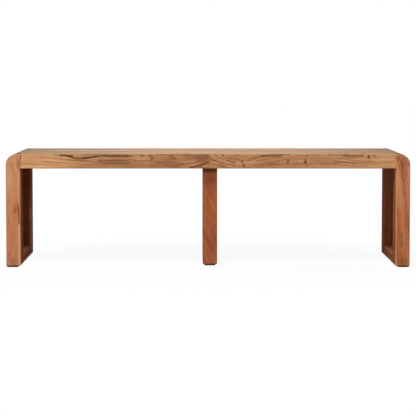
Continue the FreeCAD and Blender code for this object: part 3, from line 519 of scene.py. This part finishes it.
LEFT_RAIL_FIGURE = [
    # broad tones
    Patch((-0.365, 0.420), (0.080, 0.014), 0.50, UMBER),
    Patch((-0.520, 0.424), (0.060, 0.010), 0.25, UMBER),
    Patch((-0.069, 0.436), (0.034, 0.013), 0.40, RED),
    Patch((-0.018, 0.422), (0.032, 0.030), 0.55, RED),
    Patch((-0.150, 0.420), (0.070, 0.022), 0.30, UMBER),
    Patch((-0.271, 0.434), (0.046, 0.010), 0.50, PALE),
    Patch((-0.505, 0.442), (0.040, 0.006), 0.50, ROSE),
    Patch((-0.210, 0.408), (0.095, 0.010), 0.30, ROSE),
    # long lines, most of which sink slowly towards the right
    Stroke((-0.723, 0.423), (-0.679, 0.425), 0.002, 0.0015, 0.22, UMBER),
    Stroke((-0.735, 0.412), (-0.465, 0.396), 0.000, 0.0015, 0.35, UMBER),
    Stroke((-0.671, 0.422), (-0.396, 0.402), 0.001, 0.0020, 0.55, UMBER),
    Stroke((-0.592, 0.432), (-0.410, 0.411), 0.000, 0.0020, 0.55, UMBER),
    Stroke((-0.667, 0.436), (-0.570, 0.428), 0.001, 0.0020, 0.40, UMBER),
    Stroke((-0.540, 0.431), (-0.400, 0.418), -0.002, 0.0020, 0.50, UMBER),
    Stroke((-0.639, 0.444), (-0.584, 0.440), 0.000, 0.0020, 0.45, PALE),
    Stroke((-0.624, 0.396), (-0.410, 0.396), 0.000, 0.0020, 0.45, ROSE),
    Stroke((-0.505, 0.404), (-0.450, 0.404), 0.000, 0.0020, 0.40, UMBER),
    # the wavy line, and the dark band that it runs into
    Stroke((-0.612, 0.446), (-0.548, 0.443), 0.000, 0.0025, 0.70, UMBER),
    Stroke((-0.588, 0.445), (-0.530, 0.442), 0.000, 0.0045, 0.95, DARK),
    Stroke((-0.562, 0.443), (-0.440, 0.443), -0.0110, 0.0032, 0.92, DARK),
    Stroke((-0.500, 0.434), (-0.425, 0.442), -0.001, 0.0036, 0.85, DARK),
    Stroke((-0.500, 0.447), (-0.395, 0.446), 0.000, 0.0035, 0.50, UMBER),
    Stroke((-0.450, 0.442), (-0.362, 0.442), 0.000, 0.0022, 0.85, DARK),
    Stroke((-0.430, 0.446), (-0.395, 0.445), 0.000, 0.0035, 0.60, UMBER),
    Stroke((-0.418, 0.444), (-0.368, 0.439), 0.000, 0.0028, 0.80, DARK),
    Stroke((-0.400, 0.443), (-0.305, 0.443), 0.000, 0.0050, 0.75, RED),
    Patch((-0.360, 0.443), (0.022, 0.005), 0.55, DARK),
    Patch((-0.325, 0.441), (0.016, 0.006), 0.50, DARK),
    Patch((-0.350, 0.438), (0.050, 0.006), 0.35, UMBER),
    # lines and specks below them
    Stroke((-0.414, 0.432), (-0.313, 0.432), 0.000, 0.0025, 0.45, PALE),
    Stroke((-0.440, 0.424), (-0.309, 0.424), 0.000, 0.0030, 0.70, RED),
    Patch((-0.430, 0.424), (0.007, 0.004), 0.45, UMBER),
    Patch((-0.382, 0.424), (0.006, 0.003), 0.50, DARK),
    Stroke((-0.420, 0.413), (-0.300, 0.412), 0.000, 0.0025, 0.65, UMBER),
    Stroke((-0.340, 0.402), (-0.210, 0.405), 0.000, 0.0020, 0.45, UMBER),
    # the lens with its eyes and its right rim
    Patch((-0.302, 0.442), (0.006, 0.007), 0.65, UMBER),
    Patch((-0.287, 0.440), (0.006, 0.008), 0.30, UMBER),
    Patch((-0.259, 0.443), (0.013, 0.005), 0.70, UMBER),
    Patch((-0.229, 0.443), (0.009, 0.006), 0.70, RED),
    Patch((-0.221, 0.433), (0.006, 0.010), 0.65, UMBER),
    Stroke((-0.300, 0.424), (-0.215, 0.427), -0.003, 0.0025, 0.75, UMBER),
    Stroke((-0.319, 0.428), (-0.283, 0.427), 0.000, 0.0020, 0.35, UMBER),
    # between the lens and the seam
    Stroke((-0.215, 0.447), (-0.060, 0.446), 0.000, 0.0028, 0.70, RED),
    Patch((-0.145, 0.439), (0.011, 0.009), 0.60, UMBER),
    Patch((-0.133, 0.432), (0.010, 0.004), 0.80, UMBER),
    Stroke((-0.235, 0.420), (-0.130, 0.420), 0.000, 0.0025, 0.60, UMBER),
    Stroke((-0.215, 0.412), (-0.090, 0.413), 0.001, 0.0020, 0.45, UMBER),
    Stroke((-0.180, 0.404), (-0.095, 0.405), 0.000, 0.0020, 0.55, UMBER),
    Patch((-0.037, 0.438), (0.024, 0.011), 0.55, UMBER),
    Patch((-0.004, 0.440), (0.013, 0.010), 0.55, RED),
    # flames that rise to the seam
    Stroke((-0.130, 0.406), (-0.023, 0.427), -0.005, 0.0030, 0.60, RED),
    Stroke((-0.080, 0.406), (-0.025, 0.416), -0.0015, 0.0020, 0.40, PALE),
    Stroke((-0.078, 0.394), (0.006, 0.420), -0.0035, 0.0042, 0.85, RED),
    Patch((-0.010, 0.401), (0.011, 0.004), 0.60, PALE),
    # the joint with the post
    Patch((-0.741, 0.439), (0.003, 0.013), 0.90, DARK),
    Patch((-0.742, 0.418), (0.003, 0.016), 0.45, RED),
]

# The right half's front rail: arches that run down from the seam to a knot, and three small knots

RIGHT_RAIL_FIGURE = [
    # broad tones
    Patch((0.143, 0.436), (0.020, 0.013), 0.40, ROSE),
    Patch((0.250, 0.444), (0.040, 0.007), 0.50, UMBER),
    Patch((0.564, 0.441), (0.043, 0.008), 0.40, RED),
    # arches from the seam
    Patch((0.008, 0.428), (0.003, 0.022), 0.50, RED),
    Stroke((0.021, 0.450), (0.040, 0.434), 0.000, 0.0030, 0.75, UMBER),
    Stroke((0.006, 0.432), (0.034, 0.422), -0.001, 0.0025, 0.65, RED),
    Stroke((0.010, 0.428), (0.112, 0.403), -0.0025, 0.0025, 0.75, UMBER),
    Stroke((0.028, 0.443), (0.112, 0.416), -0.0035, 0.0030, 0.70, UMBER),
    Stroke((0.006, 0.414), (0.080, 0.398), -0.001, 0.0020, 0.50, UMBER),
    Patch((0.058, 0.443), (0.005, 0.007), 0.70, UMBER),
    Stroke((0.023, 0.444), (0.079, 0.420), -0.0035, 0.0020, 0.55, PALE),
    Stroke((0.045, 0.446), (0.071, 0.426), -0.001, 0.0020, 0.55, PALE),
    Stroke((0.059, 0.416), (0.093, 0.414), 0.000, 0.0020, 0.50, PALE),
    Stroke((0.062, 0.413), (0.089, 0.407), 0.000, 0.0020, 0.45, UMBER),
    Stroke((0.070, 0.403), (0.096, 0.403), 0.000, 0.0020, 0.40, PALE),
    # the knot that they reach
    Patch((0.119, 0.446), (0.006, 0.003), 0.50, UMBER),
    Patch((0.110, 0.436), (0.006, 0.004), 0.50, UMBER),
    Patch((0.118, 0.428), (0.006, 0.003), 0.60, UMBER),
    Stroke((0.107, 0.433), (0.139, 0.417), 0.000, 0.0025, 0.40, UMBER),
    Patch((0.136, 0.417), (0.005, 0.009), 0.70, UMBER),
    Patch((0.142, 0.403), (0.007, 0.008), 0.90, RED),
    Patch((0.160, 0.424), (0.006, 0.003), 0.65, UMBER),
    Stroke((0.155, 0.431), (0.198, 0.434), 0.000, 0.0025, 0.50, UMBER),
    Stroke((0.158, 0.422), (0.208, 0.438), 0.001, 0.0020, 0.45, UMBER),
    # a dark band below the top edge
    Stroke((0.203, 0.440), (0.300, 0.446), 0.000, 0.0050, 0.70, UMBER),
    Patch((0.216, 0.443), (0.010, 0.004), 0.50, UMBER),
    Stroke((0.277, 0.447), (0.325, 0.448), 0.000, 0.0025, 0.75, RED),
    Stroke((0.345, 0.444), (0.388, 0.444), 0.000, 0.0020, 0.50, RED),
    Patch((0.392, 0.443), (0.009, 0.005), 0.65, UMBER),
    # lines that rise slowly towards the right
    Stroke((0.185, 0.421), (0.295, 0.438), 0.001, 0.0020, 0.60, UMBER),
    Stroke((0.205, 0.409), (0.330, 0.431), 0.0015, 0.0020, 0.50, UMBER),
    Stroke((0.180, 0.403), (0.290, 0.420), 0.001, 0.0020, 0.50, UMBER),
    Stroke((0.150, 0.397), (0.270, 0.408), 0.001, 0.0020, 0.35, UMBER),
    # two small knots, with pale eyes and dark spots beside them
    Patch((0.316, 0.419), (0.006, 0.009), 0.95, UMBER),
    Patch((0.385, 0.418), (0.007, 0.011), 0.90, RED),
    Patch((0.385, 0.417), (0.004, 0.004), 0.95, DARK),
    Patch((0.383, 0.428), (0.005, 0.008), 0.45, UMBER),
    Patch((0.390, 0.405), (0.004, 0.006), 0.50, RED),
    Patch((0.366, 0.423), (0.013, 0.003), 0.60, PALE),
    Patch((0.366, 0.415), (0.010, 0.004), 0.40, ROSE),
    Patch((0.441, 0.418), (0.003, 0.009), 0.30, UMBER),
    # streaks on the way to the end
    Stroke((0.402, 0.447), (0.449, 0.447), 0.000, 0.0025, 0.55, RED),
    Stroke((0.430, 0.432), (0.540, 0.431), 0.001, 0.0020, 0.45, UMBER),
    Stroke((0.400, 0.424), (0.500, 0.426), 0.001, 0.0020, 0.40, UMBER),
    Stroke((0.440, 0.410), (0.520, 0.411), 0.000, 0.0030, 0.45, UMBER),
    Stroke((0.470, 0.447), (0.560, 0.447), 0.000, 0.0030, 0.65, UMBER),
    Stroke((0.530, 0.444), (0.616, 0.443), 0.000, 0.0040, 0.50, RED),
    Patch((0.609, 0.444), (0.009, 0.005), 0.55, RED),
    Stroke((0.507, 0.431), (0.570, 0.429), 0.000, 0.0020, 0.45, UMBER),
    Stroke((0.548, 0.425), (0.660, 0.421), -0.001, 0.0022, 0.55, UMBER),
    Stroke((0.528, 0.424), (0.574, 0.420), 0.000, 0.0020, 0.65, PALE),
    Stroke((0.490, 0.423), (0.590, 0.413), 0.000, 0.0025, 0.80, UMBER),
    Stroke((0.560, 0.414), (0.690, 0.409), -0.001, 0.0020, 0.45, UMBER),
    Stroke((0.520, 0.404), (0.650, 0.400), 0.000, 0.0020, 0.35, UMBER),
    # the dark knot
    Patch((0.635, 0.437), (0.007, 0.007), 0.98, DARK),
    Patch((0.637, 0.444), (0.006, 0.008), 0.65, RED),
    Patch((0.657, 0.443), (0.008, 0.005), 0.80, UMBER),
    Patch((0.632, 0.427), (0.003, 0.007), 0.25, UMBER),
    Stroke((0.637, 0.433), (0.687, 0.435), 0.000, 0.0020, 0.35, UMBER),
    Stroke((0.630, 0.403), (0.675, 0.403), 0.000, 0.0035, 0.50, PALE),
]

# The left front post: a red streak by the joint, red flecks at half height and a pale strip below.
# The strip goes on below the floor, so that it doesn't fade out above the foot.

LEFT_POST_FIGURE = [
    Patch((-0.778, 0.408), (0.014, 0.014), 0.20, ROSE),
    Patch((-0.788, 0.428), (0.005, 0.003), 0.40, UMBER),
    Patch((-0.753, 0.412), (0.005, 0.032), 0.40, RED),
    Patch((-0.746, 0.408), (0.004, 0.024), 0.60, RED),
    Patch((-0.784, 0.355), (0.010, 0.045), 0.40, PALE),
    Patch((-0.760, 0.235), (0.014, 0.030), 0.30, RED),
    Patch((-0.790, 0.262), (0.008, 0.012), 0.25, RED),
    Patch((-0.778, 0.120), (0.014, 0.050), 0.22, ROSE),
    Patch((-0.788, 0.046), (0.008, 0.020), 0.25, RED),
    Patch((-0.760, 0.340), (0.003, 0.048), 0.30, ROSE),
    Stroke((-0.754, 0.257), (-0.747, 0.210), 0.000, 0.0030, 0.45, RED),
    Stroke((-0.772, 0.212), (-0.761, 0.236), 0.000, 0.0030, 0.60, RED),
    Stroke((-0.752, 0.242), (-0.747, 0.170), 0.000, 0.0030, 0.65, RED),
    Stroke((-0.792, 0.210), (-0.786, 0.170), 0.000, 0.0020, 0.35, UMBER),
    Stroke((-0.778, 0.178), (-0.775, 0.090), 0.000, 0.0020, 0.30, ROSE),
    Stroke((-0.749, 0.178), (-0.747, -0.020), 0.000, 0.0045, 0.75, PALE_STRIP),
    Patch((-0.770, 0.020), (0.018, 0.022), 0.30, RED),
]

# The right front post: nested points below the corner, an oval lower down and a pale strip beside
# the opening, which goes on below the floor too

RIGHT_POST_FIGURE = [
    Patch((0.776, 0.430), (0.012, 0.006), 0.70, DUN),
    Patch((0.768, 0.412), (0.013, 0.014), 0.60, DUN),
    Patch((0.752, 0.432), (0.008, 0.012), 0.60, DUN),
    Patch((0.785, 0.416), (0.006, 0.010), 0.50, DUN),
    Stroke((0.790, 0.445), (0.796, 0.400), 0.000, 0.0040, 0.45, RED),
    Stroke((0.744, 0.447), (0.776, 0.333), 0.000, 0.0025, 0.55, RED),
    Stroke((0.755, 0.447), (0.776, 0.364), 0.000, 0.0025, 0.50, RED),
    Stroke((0.792, 0.412), (0.776, 0.333), 0.000, 0.0025, 0.55, RED),
    Stroke((0.784, 0.424), (0.776, 0.364), 0.000, 0.0025, 0.50, RED),
    Patch((0.770, 0.390), (0.005, 0.012), 0.35, UMBER),
    Stroke((0.747, 0.376), (0.772, 0.242), 0.000, 0.0020, 0.35, PALE),
    Stroke((0.746, 0.390), (0.746, -0.060), 0.000, 0.0025, 0.45, PALE_STRIP),
    Stroke((0.780, 0.242), (0.788, 0.155), 0.000, 0.0020, 0.30, RED),
    Ring((0.767, 0.109), (0.006, 0.024), 0.0025, 0.60, UMBER),
    Patch((0.767, 0.108), (0.004, 0.013), 0.45, UMBER),
    Stroke((0.783, 0.115), (0.784, 0.044), 0.000, 0.0020, 0.30, RED),
    Patch((0.780, 0.024), (0.024, 0.022), 0.40, RED),
]

# The middle leg: slanting bands, one pale line, and painted shade below the seat

LEG_FIGURE = [
    Stroke((-0.004, 0.283), (0.029, 0.222), 0.001, 0.0018, 0.25, PALE),
    Stroke((-0.020, 0.140), (0.022, 0.040), 0.002, 0.0032, 0.40, RED),
    Stroke((-0.012, 0.205), (0.034, 0.100), 0.002, 0.0030, 0.35, RED),
    # this patch is painted shade below the seat, fading downwards
    Patch((0.012, 0.350), (0.020, 0.030), 0.45, RED),
    Patch((0.002, 0.270), (0.012, 0.020), 0.25, RED),
    Patch((0.020, 0.085), (0.014, 0.030), 0.25, UMBER),
    # painted shadow of the seat's front rail
    Patch((0.008, 0.388), (0.040, 0.014), 0.35, DARK),
]


# The posts, the bottom rails and the centre frame are calmer and duller than the boards
MATT = {"contrast": 0.6, "sheen": 0.02, "roughness": 0.72}


def paint_end_frames():
    # Sides that face into the frames' openings get painted shade
    post = {"top": True, **MATT}
    wood(
        "left_front_post", "z", ["tan", "blush"], 3.1, (0.055, 0.030), (0.06, 0.02),
        fade=(0.22, 0.36), figure=LEFT_POST_FIGURE, shaded_side=(RIGHTWARDS, 0.7), **post,
    )
    wood(
        "right_front_post", "z", ["russet", "copper"], 7.7, (0.090, 0.050), (0.05, 0.06),
        fade=(0.12, 0.30), figure=RIGHT_POST_FIGURE, **post,
    )
    wood(
        "left_rear_post", "z", ["russet", "deep"], 11.3, (0.020, -0.050), (0.05, 0.08),
        fade=(0.17, 0.27), shaded_side=(FORWARDS, 0.55), **post,
    )
    wood("right_rear_post", "z", ["deep"], 13.9, (-0.030, -0.050), (-0.05, 0.07), **post)
    wood("left_top_rail", "y", ["brown"], 17.0, (0.030, -0.060), (0.06, 0.10), top=True)
    wood("right_top_rail", "y", ["brown"], 21.1, (-0.020, -0.060), (0.06, 0.10), top=True)
    # the bottom rails get a strip of painted light from the floor along their foot
    bottom_rail = {"floor_glow": 0.018, **MATT}
    wood(
        "left_bottom_rail", "y", ["dusk"], 23.0, (-0.040, -0.050), (0.08, 0.05),
        shaded_side=(RIGHTWARDS, 0.25), **bottom_rail,
    )
    wood(
        "right_bottom_rail", "y", ["russet"], 26.7, (-0.040, -0.030), (0.08, 0.05),
        shaded_side=(LEFTWARDS, 0.35), **bottom_rail,
    )


def paint_centre_frame():
    calm = {**MATT, "contrast": 0.45}
    wood("centre_front_post", "z", ["deep"], 29.3, (-0.180, 0.040), (0.45, 0.04), figure=LEG_FIGURE, **calm)
    wood("centre_rear_post", "z", ["deep"], 31.1, (0.050, -0.030), (0.06, 0.05), **MATT)
    wood("centre_top_rail", "y", ["russet"], 33.7, (0.020, 0.050), (0.06, 0.03), **MATT)
    wood("centre_bottom_rail", "y", ["deep"], 37.9, (0.030, 0.040), (0.05, 0.05), **MATT)


# The boards are painted darker towards the ends of the bench, as painted shade.
# Each half has its own places for that.
BOARD_WOODS = ("sand", "brown", "sand", "brown")
BOARD_FADES = ((-0.80, -0.05), (0.92, 0.28))
BOARD_PITH_DEPTH = 0.045
BOARD_PITH_STEP = 0.012
BOARD_LEAN = 0.03
BOARD_LEAN_STEP = 0.012


def board_wood(half, number):
    """The seed, the pith and the lean of one board."""
    seed = 59.0 + 5.3 * number + 29.0 * half
    pith = (BOARD_PITH_STEP * (-1) ** number, -BOARD_PITH_DEPTH - BOARD_PITH_STEP * number)
    middle_number = (1 + len(BOARD_WOODS)) / 2
    lean = (BOARD_LEAN_STEP * (number - middle_number), (BOARD_LEAN, -BOARD_LEAN)[half])
    return seed, pith, lean


def paint_seat():
    wood(
        "left_front_seat_rail", "x", ["honey", "brown"], 41.3, (0.030, 0.160), (0.008, 0.010),
        fade=(-0.58, -0.42), swells=[(-0.509, 0.130, -0.014)], figure=LEFT_RAIL_FIGURE,
        contrast=0.6, top=True,
    )
    wood(
        "right_front_seat_rail", "x", ["brown", "honey"], 43.9, (0.030, 0.170), (0.010, -0.012),
        fade=(0.25, 0.75), swells=[(0.139, 0.130, -0.030)], figure=RIGHT_RAIL_FIGURE,
        contrast=0.6, top=True,
    )
    wood("left_rear_seat_rail", "x", ["brown"], 47.1, (-0.050, 0.090), (0.010, 0.020), top=True)
    wood("right_rear_seat_rail", "x", ["brown"], 53.3, (-0.040, -0.080), (0.020, 0.010), top=True)
    for half, side in enumerate(("left", "right")):
        for number, inner_wood in enumerate(BOARD_WOODS, start=1):
            kinds = ["shaded_walnut", inner_wood]
            name = f"{side}_seat_board_{number}"
            wood(name, "x", kinds, *board_wood(half, number), fade=BOARD_FADES[half])
        for number, place in enumerate(("end", "middle", "centre")):
            wood(f"{side}_{place}_cross_rail", "y", ["brown"], 101.0 + 3.1 * number + 13.0 * half)


def paint_fittings():
    steel = metal_material("zinc_plated_steel", colour(178, 178, 176), 0.34)
    for name in (
        "end_bolts", "end_washers", "centre_bolts", "centre_washers", "centre_nuts",
        "left_board_screws", "right_board_screws", "foot_pad_screws",
    ):
        give(name, steel)
    give("threaded_inserts", metal_material("insert_brass", colour(198, 164, 92), 0.30))
    give("foot_pads", rubber_material("pad_rubber"))
    for name in ("seat_rail_dowels", "seam_dowels", "left_cross_rail_dowels", "right_cross_rail_dowels"):
        wood(name, "y" if "cross" in name else "x", ["beech"], 131.0)


# Floor, world, lamps and camera

FLOOR_SIZE = 80.0
FLOOR_TINT = 0.95
FLOOR_BOUNCE = 0.20  # how much light the floor throws back at the bench
AMBIENT = 0.12
# The floor shows its shadow whole up to the first distance, and not at all from the second
SHADOW_WHOLE, SHADOW_GONE = 0.315, 0.9
SHADOW_STRETCH = (0.6, 1.0, 1.0)  # so that these distances are longer along the bench
SHADOW_SHARE = 0.10


def camera_sees(nodes, links):
    """1 where the camera looks, also by way of a mirror or glass, and 0 for light on the object."""
    path = nodes.new("ShaderNodeLightPath")
    seen = path.outputs["Is Camera Ray"]
    for name in ("Is Glossy Ray", "Is Transmission Ray"):
        either = nodes.new("ShaderNodeMath")
        either.operation = "MAXIMUM"
        links.new(seen, either.inputs[0])
        links.new(path.outputs[name], either.inputs[1])
        seen = either.outputs[0]
    return seen


def diffuse(tree, tint):
    node = tree.add("ShaderNodeBsdfDiffuse")
    node.inputs["Color"].default_value = (tint, tint, tint, 1.0)
    return node.outputs[0]


def mix_shaders(tree, factor, first, second):
    node = tree.add("ShaderNodeMixShader")
    for socket, source in zip(node.inputs, (factor, first, second)):
        tree.links.new(source, socket)
    return node.outputs[0]


def make_floor():
    half = FLOOR_SIZE / 2
    mesh = bpy.data.meshes.new("floor")
    corners = [(-half, -half, 0), (half, -half, 0), (half, half, 0), (-half, half, 0)]
    mesh.from_pydata(corners, [], [(0, 1, 2, 3)])
    floor = bpy.data.objects.new("floor", mesh)
    bpy.context.scene.collection.objects.link(floor)
    tree = Tree("pale_floor")
    tree.nodes.remove(tree.surface)
    white = tree.add("ShaderNodeEmission").outputs[0]
    away = tree.vector("LENGTH", tree.vector("MULTIPLY", tree.spot, SHADOW_STRETCH))
    near = tree.step(away, SHADOW_GONE, SHADOW_WHOLE, 0.0, SHADOW_SHARE)
    shown = mix_shaders(tree, near, white, diffuse(tree, FLOOR_TINT))
    both = mix_shaders(tree, camera_sees(tree.nodes, tree.links), diffuse(tree, FLOOR_BOUNCE), shown)
    tree.links.new(both, tree.nodes["Material Output"].inputs["Surface"])
    floor.data.materials.append(tree.material)


def make_world():
    world = bpy.data.worlds.new("studio")
    bpy.context.scene.world = world
    world.use_nodes = True
    nodes, links = world.node_tree.nodes, world.node_tree.links
    strength = nodes.new("ShaderNodeMapRange")
    links.new(camera_sees(nodes, links), strength.inputs["Value"])
    strength.inputs["To Min"].default_value = AMBIENT
    strength.inputs["To Max"].default_value = 1.0
    background = nodes["Background"]
    background.inputs["Color"].default_value = (1.0, 1.0, 1.0, 1.0)
    links.new(strength.outputs["Result"], background.inputs["Strength"])


def make_lamp(name, place, width, height, light):
    """A softbox aimed at the bench's middle. Its light is the irradiance that it gives there, over pi."""
    target = Vector((0.0, 0.0, HEIGHT / 2))
    aim = target - Vector(place)
    lamp = bpy.data.lights.new(name, "AREA")
    lamp.shape = "RECTANGLE"
    lamp.size, lamp.size_y = width, height
    lamp.energy = light * (math.pi * aim.length) ** 2
    holder = bpy.data.objects.new(name, lamp)
    holder.location = place
    holder.rotation_euler = aim.to_track_quat("-Z", "Y").to_euler()
    bpy.context.scene.collection.objects.link(holder)


def make_lamps():
    # the lamp's name, its place, its width and height, and its light
    make_lamp("front_softbox", (0.0, -81.0, 36.0), 1.8, 21.0, 0.48)
    make_lamp("low_softbox", (-0.6, -3.3, 0.5), 0.2, 0.4, 0.11)
    make_lamp("high_softbox", (-0.25, -1.35, 2.4), 1.2, 0.8, 0.50)
    make_lamp("top_softbox", (0.0, 0.1, 1.9), 0.6, 0.4, 0.10)
    make_lamp("left_softbox", (-2.8, -0.2, 2.2), 1.0, 1.0, 0.12)
    make_lamp("rear_softbox", (0.0, 4.5, 3.2), 2.0, 1.2, 0.20)


# These bring the edges of the seat and the posts to where the photo has them
CAMERA_PLACE = Vector((-0.0382, -5.1962, 0.7687))
CAMERA_TILT = math.radians(2.89)
CAMERA_LENS = 109.9
CAMERA_SENSOR = 36.0
CAMERA_SHIFT = (0.0232, -0.17)


def make_camera():
    lens = bpy.data.cameras.new("camera")
    lens.lens = CAMERA_LENS
    lens.sensor_width = CAMERA_SENSOR
    lens.shift_x, lens.shift_y = CAMERA_SHIFT
    camera = bpy.data.objects.new("camera", lens)
    camera.location = CAMERA_PLACE
    camera.rotation_euler = (math.pi / 2 - CAMERA_TILT, 0.0, 0.0)
    bpy.context.scene.collection.objects.link(camera)
    bpy.context.scene.camera = camera


paint_end_frames()
paint_centre_frame()
paint_seat()
paint_fittings()
make_floor()
make_world()
make_lamps()
make_camera()
bpy.context.scene.view_settings.view_transform = "Standard"
